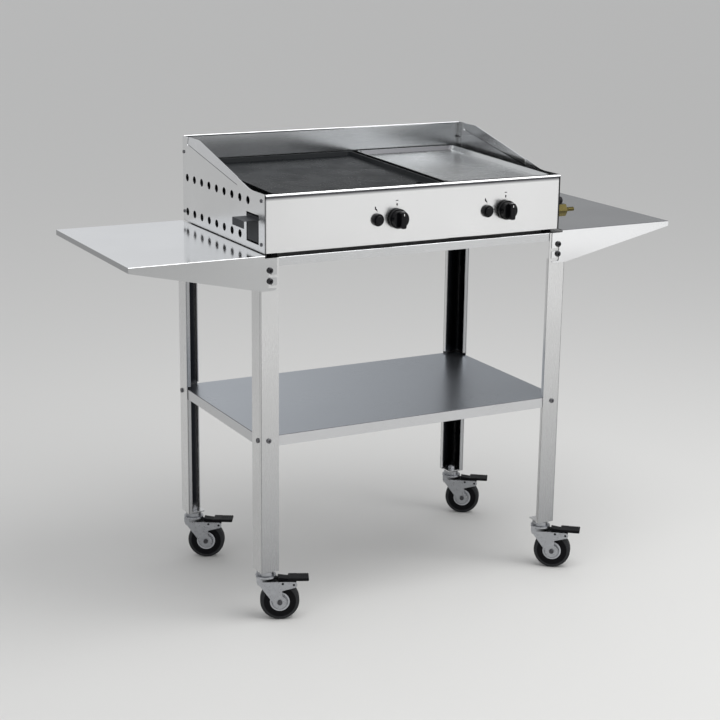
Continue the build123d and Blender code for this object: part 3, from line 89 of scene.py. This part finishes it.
# Where the tones of a finish change
LEG_FADE = (0.08, 0.62)    # heights where the legs' fronts take the painted dark reflection of the foot, and keep their own tone at the top
BEAD_FADE = 0.013    # shade under the bead ends this far below its top
CREASE_HALF = 0.0006    # half the width of the fold line
TREAD_BAND = (0.0345, 0.0355)    # distances from a wheel's middle where the tread's grey starts and is full
NEAR = 0.0003    # half the depth of the slice that picks out a leg's inner face
SQUARE_ON = (0.7, 0.9)    # how far a face looks along an axis where its mask starts and is full
LEANING = (0.4, 0.6)
FOLD = (0.12, 0.96)    # how far a fold looks up at its upright end and at its level end
EDGE_TURN = 0.5    # a side panel's cut edges look less far along X than this
# Painted shade by ambient occlusion, in the narrow gaps where pieces meet
SEAM_REACH = 0.012
SEAM_OPEN = (0.1, 0.75)    # openness where a seam is darkest and where it ends
SEAM_SAMPLES = 6
SEAM_SHADE = 0.30

# Marks on the front panel and on the knobs, as outlines right of and above a control's middle
DASH = [(-2.9, 35.0), (2.9, 35.0), (2.9, 36.6), (-2.9, 36.6)]
DROP = [(0.0, 23.8), (1.8, 27.8), (1.4, 29.6), (0.5, 30.4), (-0.5, 30.4), (-1.4, 29.6), (-1.8, 27.8)]
SPARK = [(-6.0, 26.5), (-3.4, 26.5), (-3.2, 21.8), (-1.4, 21.8), (0.4, 15.6), (-3.9, 20.0), (-5.7, 20.0)]
TICK = [(-0.7, 8.8), (0.7, 8.8), (0.7, 13.6), (-0.7, 13.6)]
MILLIMETRES = 1000    # to a metre
MARK_DEPTH = 0.00012

# Ribs round the knobs
RIB_COUNT = 40
RIB_HALF = 0.0009
RIB_HEIGHT = 0.0008
RIB_SUNK = 0.0004

# Colours of the finishes, linear
STEEL = (0.76, 0.76, 0.76)
FACE_STEEL = (0.84, 0.84, 0.84)
SIDE_STEEL = (0.86, 0.865, 0.87)
WING_STEEL = (0.88, 0.885, 0.895)
SHELF_STEEL = (0.62, 0.625, 0.635)
# painted dark reflection of the body's underside on the lower shelf's top
SHELF_TOP_SHADE = (0.46, 0.49, 0.53)
# painted dark reflection on the back panel's inner face, which looks forward
SPLASH_REFLECTION = (0.42, 0.43, 0.44)
RAIL_STEEL = (0.64, 0.645, 0.65)
# painted dark reflections on the left shelf's front flange and on its left edge
FLANGE_REFLECTION = (0.60, 0.605, 0.61)
LEFT_EDGE_REFLECTION = (0.40, 0.405, 0.415)
# painted shade on the rails' tops, which lie under the body
RAIL_TOP_SHADE = (0.06, 0.06, 0.065)
# painted dark reflection, darker down the legs' fronts towards the feet
LEG_FOOT_SHADE = (0.36, 0.365, 0.375)
# painted shade inside the legs' angles
LEG_INSIDE_SHADE = (0.013, 0.014, 0.017)
# painted shade on the rear legs' lips, which look forward
LIP_SHADE = (0.40, 0.405, 0.415)
FOLD_SHADE = (0.10, 0.10, 0.11)
BEAD_SHADE = (0.10, 0.10, 0.11)
EDGE_SHADE = (0.03, 0.03, 0.033)
PLATE_STEEL = (0.60, 0.61, 0.61)
RIM_SHADE = (0.08, 0.08, 0.085)
INNER_STEEL = (0.20, 0.20, 0.205)
PAN_STEEL = (0.07, 0.07, 0.072)
ZINC = (0.40, 0.41, 0.43)
SCREW_GREY = (0.16, 0.16, 0.17)
BOLT_GREY = (0.045, 0.045, 0.048)
AXLE_GREY = (0.08, 0.08, 0.085)
BRASS = (0.08, 0.066, 0.024)
DARK_ENAMEL = (0.008, 0.009, 0.010)
TRAY_GREY = (0.050, 0.052, 0.056)
GLOSS_BLACK = (0.003, 0.003, 0.004)
MATT_BLACK = (0.004, 0.004, 0.005)
HUB_GREY = (0.46, 0.47, 0.49)
TYRE_BLACK = (0.004, 0.004, 0.005)
TREAD_GREY = (0.034, 0.035, 0.037)
CERAMIC_WHITE = (0.80, 0.78, 0.74)
MARK_WHITE = (0.78, 0.78, 0.76)
MARK_BLACK = (0.012, 0.012, 0.013)

# Gloss and grain of the finishes. A scale counts cells in a metre, and a depth is in metres.
ENAMEL_GLOSS = 0.13
ENAMEL_IOR = 1.22
PLASTIC_GLOSS = 0.18
RUBBER_GLOSS = 0.09
CLEAR_GLOSS = 0.5
NOISE_LOW = 0.3    # most of a noise lies between these
NOISE_HIGH = 0.7
LINES_ACROSS = 2600.0
LINES_ALONG = 30.0
LINE_DEPTH = 0.0001
CLOUD_SCALE = 7.0
SATIN_CHANGE = (-0.02, 0.02)    # changes of roughness, below and above the mean
WORN_CHANGE = (-0.05, 0.07)
DUST_CHANGE = (-0.04, 0.08)
SPOT_SCALE = 160.0
SPOT_BUMP = 0.06
GRIT_SCALE = 900.0
GRIT_BUMP = 0.06
GRAIN_DEPTH = 0.0002
DUST = 0.003
DUST_SCALE = 60.0
DUST_PATCH = (0.45, 0.8)    # noise where dust starts and is full
SPECK_SCALE = 1400.0
SPECK_PATCH = (0.55, 0.75)
SPECK_TONE = 1.8
WAVE_SCALE = 18.0
WAVE_BUMP = 0.04
WAVE_DEPTH = 0.001
TYRE_SCALE = 500.0
TYRE_ROUGHNESS = (0.52, 0.70)
TYRE_BUMP = 0.12
TYRE_DEPTH = 0.0003
TREAD_COVER = (0.7, 1.0)    # least and most of the tread's grey

# The Mix node's colour sockets, which share their names with its other sockets
MIX_INPUTS = (6, 7)
MIX_OUTPUT = 2


class Finish:
    """A material's node tree, with short ways to add nodes and join them."""

    def __init__(self, name, metallic, roughness):
        self.material = bpy.data.materials.new(name)
        self.material.use_nodes = True
        self.tree = self.material.node_tree
        self.tree.nodes.clear()
        self.shader = self.add("BsdfPrincipled", Metallic=metallic, Roughness=roughness)
        end = self.add("OutputMaterial")
        self.feed(end.inputs["Surface"], self.shader.outputs["BSDF"])
        self.place = self.add("TexCoord").outputs["Object"]

    def feed(self, socket, value):
        """Set an input to a number or a tuple, or join it to an output."""
        if isinstance(value, bpy.types.NodeSocket):
            self.tree.links.new(value, socket)
        else:
            socket.default_value = value

    def add(self, kind, **inputs):
        """A new shader node, with inputs that are numbers, tuples or sockets."""
        node = self.tree.nodes.new("ShaderNode" + kind)
        for name, value in inputs.items():
            self.feed(node.inputs[name.replace("_", " ")], value)
        return node

    def stretched(self, scale):
        """The surface's place, scaled along X, Y and Z."""
        return self.add("Mapping", Scale=scale, Vector=self.place).outputs["Vector"]

    def noise(self, place, scale, detail=2.0):
        return self.add("TexNoise", Scale=scale, Detail=detail, Vector=place).outputs["Fac"]

    def spread(self, value, low, high, start=NOISE_LOW, stop=NOISE_HIGH):
        """Map start to stop of a value on low to high."""
        node = self.add("MapRange", Value=value, From_Min=start, From_Max=stop, To_Min=low, To_Max=high)
        return node.outputs["Result"]

    def grow(self, value, start=NOISE_LOW, stop=NOISE_HIGH):
        """Mask that grows from 0 to 1 as a value goes from start to stop."""
        return self.spread(value, 0.0, 1.0, start, stop)

    def blend(self, factor, low, high):
        """Mix two colours, each a triple or a socket."""
        node = self.add("Mix", Factor=factor)
        node.data_type = "RGBA"
        for index, colour in zip(MIX_INPUTS, (low, high)):
            value = (*colour, 1.0) if isinstance(colour, tuple) else colour
            self.feed(node.inputs[index], value)
        return node.outputs[MIX_OUTPUT]

    def math(self, operation, *values):
        node = self.add("Math")
        node.operation = operation
        for socket, value in zip(node.inputs, values):
            self.feed(socket, value)
        return node.outputs["Value"]

    def both(self, first, second):
        """Mask of what two masks share."""
        return self.math("MULTIPLY", first, second)

    def over(self, value, limit):
        return self.math("GREATER_THAN", value, limit)

    def under(self, value, limit):
        return self.math("LESS_THAN", value, limit)

    def along(self, axis, source=None):
        """One coordinate of the surface's place, or of another vector."""
        return self.add("SeparateXYZ", Vector=source or self.place).outputs[axis]

    def facing(self, axis):
        """How much the surface faces along an axis of its own object."""
        return self.along(axis, self.add("TexCoord").outputs["Normal"])

    def seam_shade(self, tone, dark):
        """Painted shade: darken a tone by ambient occlusion in the narrow gaps where pieces meet."""
        node = self.add("AmbientOcclusion", Distance=SEAM_REACH)
        node.samples = SEAM_SAMPLES
        return self.blend(self.grow(node.outputs["AO"], *SEAM_OPEN), dark, tone)

    def bump(self, height, strength, distance):
        node = self.add("Bump", Height=height, Strength=strength, Distance=distance)
        self.feed(self.shader.inputs["Normal"], node.outputs["Normal"])

    def colour(self, source):
        self.feed(self.shader.inputs["Base Color"], source)

    def roughness(self, source):
        self.feed(self.shader.inputs["Roughness"], source)

    def uneven(self, value, mean, change):
        """Roughness that follows a value, by a change below and above its mean."""
        low, high = change
        return self.spread(value, mean + low, mean + high)

    def gloss(self, level):
        self.feed(self.shader.inputs["Specular IOR Level"], level)


def shade(colour, factor):
    return tuple(min(1.0, part * factor) for part in colour)


def middle_of(node):
    low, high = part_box(node)
    return (low + high) / 2


def brushed_steel(name, colour, roughness, grain, depth=0.015, cloud=0.025, patches=()):
    """Stainless sheet: fine lines along the grain, faint clouds, painted shade where pieces meet, and
    patches of painted shade and reflection.

    A patch is a function that gives its mask's socket from the finish, and its colour."""
    finish = Finish(name, metallic=1.0, roughness=roughness)
    scale = [LINES_ACROSS] * 3
    scale["XYZ".index(grain)] = LINES_ALONG
    lines = finish.noise(finish.stretched(scale), scale=1.0)
    clouds = finish.noise(finish.place, CLOUD_SCALE, detail=3.0)
    tone = finish.blend(finish.grow(clouds), shade(colour, 1 - cloud), shade(colour, 1 + cloud))
    for mask, patch_colour in patches:
        tone = finish.blend(mask(finish), tone, patch_colour)
    finish.colour(finish.seam_shade(tone, shade(colour, SEAM_SHADE)))
    satin = finish.uneven(lines, roughness, SATIN_CHANGE)
    finish.roughness(finish.math("ADD", satin, finish.spread(clouds, *SATIN_CHANGE)))
    finish.bump(lines, depth, LINE_DEPTH)
    return finish.material


def faces_down(finish, axis, limits):
    """Mask of the faces that look down an axis, towards its lower end."""
    start, full = limits
    return finish.spread(finish.facing(axis), 1.0, 0.0, -full, -start)


def level_top(finish):
    """Mask of the faces that look up."""
    return finish.grow(finish.facing("Z"), *SQUARE_ON)


def looks_forward(finish):
    """Mask of the faces that look to the front."""
    return faces_down(finish, "Y", SQUARE_ON)


def leans_forward(finish):
    """Mask of the slopes that lean to the front."""
    return faces_down(finish, "Y", LEANING)


def looks_left(finish):
    """Mask of the faces that look to the left."""
    return faces_down(finish, "X", SQUARE_ON)


def folded(finish):
    """Mask of the rounded folds between level and upright faces."""
    upright, level = FOLD
    rise = finish.facing("Z")
    return finish.both(finish.over(rise, upright), finish.under(rise, level))


def towards_foot(finish):
    """Mask of painted dark reflection that grows down a leg's front."""
    low, high = LEG_FADE
    fade = finish.spread(finish.along("Z"), 1.0, 0.0, low, high)
    return finish.both(fade, looks_forward(finish))


def between(axis, low, high):
    """Mask of a band across one axis."""

    def mask(finish):
        place = finish.along(axis)
        return finish.both(finish.over(place, low), finish.under(place, high))

    return mask


def under_bead(finish):
    """Mask of the front panel's bead from its middle down, which fades out on the face below."""
    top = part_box("front_panel")[1].z
    z = finish.along("Z")
    fade = finish.grow(z, top - BEAD_FADE, top - 2 * BEAD_RADIUS)
    return finish.both(fade, finish.under(z, top - BEAD_RADIUS))


def sheet_edge(finish):
    """Mask of a side panel's own thickness, in its vent holes and along its front."""
    across = finish.under(finish.math("ABSOLUTE", finish.facing("X")), EDGE_TURN)
    below = finish.under(finish.along("Z"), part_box("front_panel")[1].z)
    return finish.both(across, below)


def crease(finish):
    """Mask of the fold line under a side panel's leaning strip."""
    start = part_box("left_panel")[0].yz + CREASE_FRONT
    run = CREASE_BACK - CREASE_FRONT
    slope = run.y / run.x
    rise = finish.math("MULTIPLY", finish.along("Y"), slope)
    level = finish.math("SUBTRACT", finish.along("Z"), rise)
    gap = finish.math("ABSOLUTE", finish.math("SUBTRACT", level, start.y - start.x * slope))
    inside = between("Y", start.x, start.x + run.x)
    return finish.both(finish.under(gap, CREASE_HALF), inside(finish))


def leg_inside(corner):
    """Mask of painted shade on the two faces inside a leg's angle."""
    low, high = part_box(f"leg_{corner}")
    x = low.x + LEG_SHEET if corner.endswith("left") else high.x - LEG_SHEET
    y = high.y - LEG_SHEET if corner.startswith("rear") else low.y + LEG_SHEET
    at_x = between("X", x - NEAR, x + NEAR)
    at_y = between("Y", y - NEAR, y + NEAR)
    return lambda finish: finish.math("MAXIMUM", at_x(finish), at_y(finish))


def plain_metal(name, colour, roughness, cell=SPOT_SCALE, mottle=0.07):
    """Plated, drawn or turned metal with a fine uneven mottle."""
    finish = Finish(name, metallic=1.0, roughness=roughness)
    spots = finish.noise(finish.place, cell, detail=4.0)
    tone = finish.blend(finish.grow(spots), shade(colour, 1 - mottle), shade(colour, 1 + mottle))
    # painted shade by ambient occlusion where pieces meet
    finish.colour(finish.seam_shade(tone, shade(colour, SEAM_SHADE)))
    finish.roughness(finish.uneven(spots, roughness, WORN_CHANGE))
    finish.bump(spots, SPOT_BUMP, GRAIN_DEPTH)
    return finish.material


def moulding(name, colour, roughness, gloss=PLASTIC_GLOSS, grit=GRIT_SCALE, depth=GRIT_BUMP):
    """Moulded plastic or rubber with a fine grain and faint dust."""
    finish = Finish(name, metallic=0.0, roughness=roughness)
    finish.gloss(gloss)
    grains = finish.noise(finish.place, grit)
    dust = finish.noise(finish.place, DUST_SCALE, detail=3.0)
    dusty = tuple(part + DUST for part in colour)
    finish.colour(finish.blend(finish.grow(dust, *DUST_PATCH), colour, dusty))
    finish.roughness(finish.uneven(dust, roughness, DUST_CHANGE))
    finish.bump(grains, depth, GRAIN_DEPTH)
    return finish.material


def enamel(name, colour, roughness, gloss):
    """Dark baked enamel with fine speckles and a slightly wavy gloss."""
    finish = Finish(name, metallic=0.0, roughness=roughness)
    finish.gloss(gloss)
    finish.feed(finish.shader.inputs["IOR"], ENAMEL_IOR)
    specks = finish.noise(finish.place, SPECK_SCALE, detail=1.0)
    waves = finish.noise(finish.place, WAVE_SCALE)
    finish.colour(finish.blend(finish.grow(specks, *SPECK_PATCH), colour, shade(colour, SPECK_TONE)))
    finish.roughness(finish.uneven(waves, roughness, WORN_CHANGE))
    finish.bump(waves, WAVE_BUMP, WAVE_DEPTH)
    return finish.material


def tyre_rubber(corner):
    """Black tyre with a grey band round its tread."""
    finish = Finish(f"tyre_rubber_{corner}", metallic=0.0, roughness=0.6)
    finish.gloss(RUBBER_GLOSS)
    reach = finish.add("VectorMath")
    reach.operation = "DISTANCE"
    finish.feed(reach.inputs[0], finish.place)
    finish.feed(reach.inputs[1], middle_of(f"tyre_{corner}"))
    grit = finish.noise(finish.place, TYRE_SCALE, detail=3.0)
    band = finish.grow(reach.outputs["Value"], *TREAD_BAND)
    dusty = finish.both(band, finish.spread(grit, *TREAD_COVER))
    finish.colour(finish.blend(dusty, TYRE_BLACK, TREAD_GREY))
    finish.roughness(finish.spread(grit, *TYRE_ROUGHNESS))
    finish.bump(grit, TYRE_BUMP, TYRE_DEPTH)
    return finish.material


def give(material, *names):
    """Put a material in every slot of these nodes."""
    for name in names:
        mesh = nodes[name].data
        for slot in range(len(mesh.materials)):
            mesh.materials[slot] = material


def dress_legs():
    for corner in CORNERS:
        # painted shade on the rear legs' lips, and painted dark reflection down the front legs
        front = (looks_forward, LIP_SHADE) if corner.startswith("rear") else (towards_foot, LEG_FOOT_SHADE)
        patches = [front, (leg_inside(corner), LEG_INSIDE_SHADE)]
        satin = brushed_steel(f"leg_satin_{corner}", STEEL, roughness=0.27, grain="Z", patches=patches)
        give(satin, f"leg_{corner}")


def dress_frame():
    shaded = [(level_top, RAIL_TOP_SHADE)]
    rail = brushed_steel("rail_satin", RAIL_STEEL, roughness=0.28, grain="X", patches=shaded)
    give(rail, "front_rail", "rear_rail")
    rail = brushed_steel("side_rail_satin", RAIL_STEEL, roughness=0.28, grain="Y", patches=shaded)
    give(rail, "left_rail", "right_rail")
    # painted dark reflections on the left shelf's front flange and left edge
    turned = [(looks_forward, FLANGE_REFLECTION), (looks_left, LEFT_EDGE_REFLECTION)]
    wing = brushed_steel("left_wing_polish", WING_STEEL, roughness=0.12, grain="Y", patches=turned)
    give(wing, "left_shelf")
    fold = [(folded, FOLD_SHADE)]
    wing = brushed_steel("right_wing_polish", WING_STEEL, roughness=0.12, grain="Y", patches=fold)
    give(wing, "right_shelf")
    tray = [(level_top, SHELF_TOP_SHADE), (folded, FOLD_SHADE)]
    shelf = brushed_steel("lower_shelf_satin", SHELF_STEEL, roughness=0.30, grain="X", patches=tray)
    give(shelf, "lower_shelf")
    give(plain_metal("plated_nuts", ZINC, roughness=0.30), "caster_bolts")
    give(plain_metal("plated_screws", SCREW_GREY, roughness=0.28), "frame_screws", "panel_screws")
    give(plain_metal("dark_bolts", BOLT_GREY, roughness=0.20), "hook_bolts")


def dress_casters():
    zinc = plain_metal("plated_fork", ZINC, roughness=0.30)
    axle = plain_metal("dark_axle", AXLE_GREY, roughness=0.30)
    hub = moulding("hub_moulding", HUB_GREY, roughness=0.42, gloss=CLEAR_GLOSS)
    pedal = moulding("pedal_moulding", MATT_BLACK, roughness=0.42, gloss=RUBBER_GLOSS)
    for corner in CORNERS:
        give(zinc, f"caster_fork_{corner}")
        give(axle, f"axle_{corner}")
        give(hub, f"wheel_hub_{corner}")
        give(pedal, f"brake_pedal_{corner}")
        give(tyre_rubber(corner), f"tyre_{corner}")


def dress_panels():
    lines = [(sheet_edge, EDGE_SHADE), (crease, EDGE_SHADE)]
    side = brushed_steel("side_panel_satin", SIDE_STEEL, roughness=0.24, grain="Y", patches=lines)
    give(side, "left_panel", "right_panel")
    bead = [(under_bead, BEAD_SHADE)]
    front = brushed_steel("front_panel_satin", FACE_STEEL, roughness=0.24, grain="X", patches=bead)
    give(front, "front_panel")
    splash_reflection = [(looks_forward, SPLASH_REFLECTION)]
    back = brushed_steel("back_panel_bright", STEEL, roughness=0.18, grain="X", patches=splash_reflection)
    give(back, "back_panel")


def dress_inside():
    inner = plain_metal("inner_steel", INNER_STEEL, roughness=0.45, cell=60.0)
    give(inner, "plate_supports", "tray_guides")
    burner = plain_metal("burner_steel", INNER_STEEL, roughness=0.50, cell=90.0, mottle=0.2)
    give(burner, "left_burner", "right_burner")
    give(plain_metal("pan_steel", PAN_STEEL, roughness=0.55, cell=40.0), "floor_pan")
    give(moulding("foot_rubber", MATT_BLACK, roughness=0.70, gloss=RUBBER_GLOSS, grit=400.0), "body_feet")


def dress_plates():
    give(enamel("dark_plate_enamel", DARK_ENAMEL, roughness=0.26, gloss=ENAMEL_GLOSS), "left_griddle_plate")
    rim = [(leans_forward, RIM_SHADE)]
    ground = brushed_steel("ground_plate", PLATE_STEEL, roughness=0.26, grain="X", depth=0.05, cloud=0.06,
                           patches=rim)
    give(ground, "right_griddle_plate")
    give(enamel("tray_coat", TRAY_GREY, roughness=0.36, gloss=PLASTIC_GLOSS), "grease_tray")


def dress_controls():
    give(moulding("knob_gloss", GLOSS_BLACK, roughness=0.16, depth=0.02), "left_knob", "right_knob")
    give(moulding("igniter_gloss", GLOSS_BLACK, roughness=0.24, depth=0.03), "igniter_bodies")
    button = moulding("button_gloss", GLOSS_BLACK, roughness=0.18, depth=0.02)
    give(button, "left_igniter_button", "right_igniter_button")
    brass = plain_metal("machined_brass", BRASS, roughness=0.26, cell=90.0)
    give(brass, "gas_inlet", "gas_valves", "left_valve_stem", "right_valve_stem")
    give(plain_metal("drawn_tube", ZINC, roughness=0.35), "gas_pipes")
    give(moulding("electrode_glaze", CERAMIC_WHITE, roughness=0.20, gloss=CLEAR_GLOSS), "spark_electrodes")
    give(moulding("plug_moulding", MATT_BLACK, roughness=0.35), "inlet_plug")


def new_piece(name, shapes, material, body):
    """Make a bmesh an object that rides on a body and takes its finish from a slot."""
    bmesh.ops.recalc_face_normals(shapes, faces=shapes.faces)
    mesh = bpy.data.meshes.new(name)
    shapes.to_mesh(mesh)
    shapes.free()
    mesh.materials.append(material)
    piece = bpy.data.objects.new(name, mesh)
    scene.collection.objects.link(piece)
    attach(piece, body)


def prism(shapes, front, back):
    """Close the solid between two outlines of as many points."""
    front = [shapes.verts.new(point) for point in front]
    back = [shapes.verts.new(point) for point in back]
    shapes.faces.new(front)
    shapes.faces.new(back[::-1])
    for k in range(len(front)):
        follow = (k + 1) % len(front)
        shapes.faces.new((front[k], back[k], back[follow], front[follow]))


def raise_marks(name, outlines, y, material, body):
    """Marks as thin as print, in XZ, on the plane at y."""
    shapes = bmesh.new()
    for outline in outlines:
        front = [(x, y - MARK_DEPTH, z) for x, z in outline]
        back = [(x, y, z) for x, z in outline]
        prism(shapes, front, back)
    new_piece(name, shapes, material, body)


def moved(outline, x, z):
    """An outline in millimetres, set about a point in metres."""
    return [(x + px / MILLIMETRES, z + pz / MILLIMETRES) for px, pz in outline]


def mark_panel():
    """A dash and a drop over each knob, a spark over each igniter and a tick on each knob."""
    ink = moulding("printed_ink", MARK_BLACK, roughness=0.5)
    white = moulding("knob_tick", MARK_WHITE, roughness=0.5)
    marks = []
    for side in SIDES:
        knob = f"{side}_knob"
        x, _, z = middle_of(knob)
        marks += [moved(DASH, x, z), moved(DROP, x, z)]
        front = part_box(f"{side}_knob")[0].y
        raise_marks(f"{knob}_tick", [moved(TICK, x, z)], front, white, knob)
        x, _, z = middle_of(f"{side}_igniter_button")
        marks.append(moved(SPARK, x, z))
    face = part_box("front_panel")[0].y + BEAD_PROUD
    raise_marks("panel_marks", marks, face, ink, "stand")


def rib_knobs():
    """Short ribs round each knob, from its skirt to its face."""
    for side in SIDES:
        knob = f"{side}_knob"
        x, _, z = middle_of(knob)
        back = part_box(f"{side}_knob")[1].y
        shapes = bmesh.new()
        for k in range(RIB_COUNT):
            angle = 2 * pi * k / RIB_COUNT
            out = Vector((cos(angle), 0, sin(angle)))
            across = Vector((-sin(angle), 0, cos(angle)))
            ends = []
            for depth, radius in ((KNOB_BODY, KNOB_FACE_RADIUS), (KNOB_SKIRT, KNOB_BODY_RADIUS)):
                centre = Vector((x, back - depth, z))
                foot = centre + out * (radius - RIB_SUNK)
                tip = centre + out * (radius + RIB_HEIGHT)
                ends.append([foot - across * RIB_HALF, foot + across * RIB_HALF, tip])
            prism(shapes, *ends)
        gloss = nodes[knob].data.materials[0]
        new_piece(f"{knob}_ribs", shapes, gloss, knob)


def lay_floor():
    bpy.ops.mesh.primitive_plane_add(size=FLOOR_SIZE)
    floor = bpy.context.object
    floor.name = "studio_floor"
    finish = Finish("studio_floor", metallic=0.0, roughness=FLOOR_ROUGHNESS)
    finish.colour((*FLOOR_COLOUR, 1.0))
    floor.data.materials.append(finish.material)


def hang_sky():
    """An even sky, brighter overhead, with a soft grey card low behind the object."""
    world = bpy.data.worlds.new("studio_sky")
    scene.world = world
    world.use_nodes = True
    tree = world.node_tree
    sky = tree.nodes["Background"]
    way = tree.nodes.new("ShaderNodeTexCoord").outputs["Generated"]
    split = tree.nodes.new("ShaderNodeSeparateXYZ")
    tree.links.new(way, split.inputs["Vector"])
    ramp = tree.nodes.new("ShaderNodeValToRGB")
    stops = ramp.color_ramp.elements
    stops[1].position = max(SKY_TONES)
    for position, tone in SKY_TONES.items():
        stop = next((s for s in stops if s.position == position), None) or stops.new(position)
        stop.color = (*tone, 1.0)
    tree.links.new(split.outputs["Z"], ramp.inputs["Fac"])
    tree.links.new(ramp.outputs["Color"], sky.inputs["Color"])
    card = tree.nodes.new("ShaderNodeVectorMath")
    card.operation = "DOT_PRODUCT"
    card.inputs[1].default_value = CARD_WAY
    tree.links.new(way, card.inputs[0])
    dim = tree.nodes.new("ShaderNodeMapRange")
    dim.interpolation_type = "SMOOTHSTEP"
    dim.inputs["From Min"].default_value = CARD_EDGE
    dim.inputs["From Max"].default_value = CARD_FULL
    dim.inputs["To Min"].default_value = SKY_LEVEL
    dim.inputs["To Max"].default_value = SKY_LEVEL * CARD_TONE
    tree.links.new(card.outputs["Value"], dim.inputs["Value"])
    tree.links.new(dim.outputs["Result"], sky.inputs["Strength"])


def hang_lamps():
    for name, place, aim, size, watts, fan in LAMPS:
        light = bpy.data.lights.new(name, "AREA")
        light.size = size
        light.energy = watts
        light.spread = fan
        lamp = bpy.data.objects.new(name, light)
        lamp.location = place
        lamp.visible_camera = False
        lamp.rotation_euler = (aim - place).to_track_quat("-Z", "Y").to_euler()
        scene.collection.objects.link(lamp)


def set_camera():
    data = bpy.data.cameras.new("photo_camera")
    data.sensor_width = SENSOR
    data.lens = CAMERA_LENS
    eye = bpy.data.objects.new("photo_camera", data)
    right = CAMERA_LOOK.cross(CAMERA_UP).normalized()
    up = right.cross(CAMERA_LOOK).normalized()
    turn = Matrix((right, up, -CAMERA_LOOK.normalized())).transposed()
    eye.matrix_world = Matrix.Translation(CAMERA_EYE) @ turn.to_4x4()
    scene.collection.objects.link(eye)
    scene.camera = eye


dress_legs()
dress_frame()
dress_casters()
dress_panels()
dress_inside()
dress_plates()
dress_controls()
mark_panel()
rib_knobs()
lay_floor()
hang_sky()
hang_lamps()
set_camera()
scene.view_settings.view_transform = "Standard"
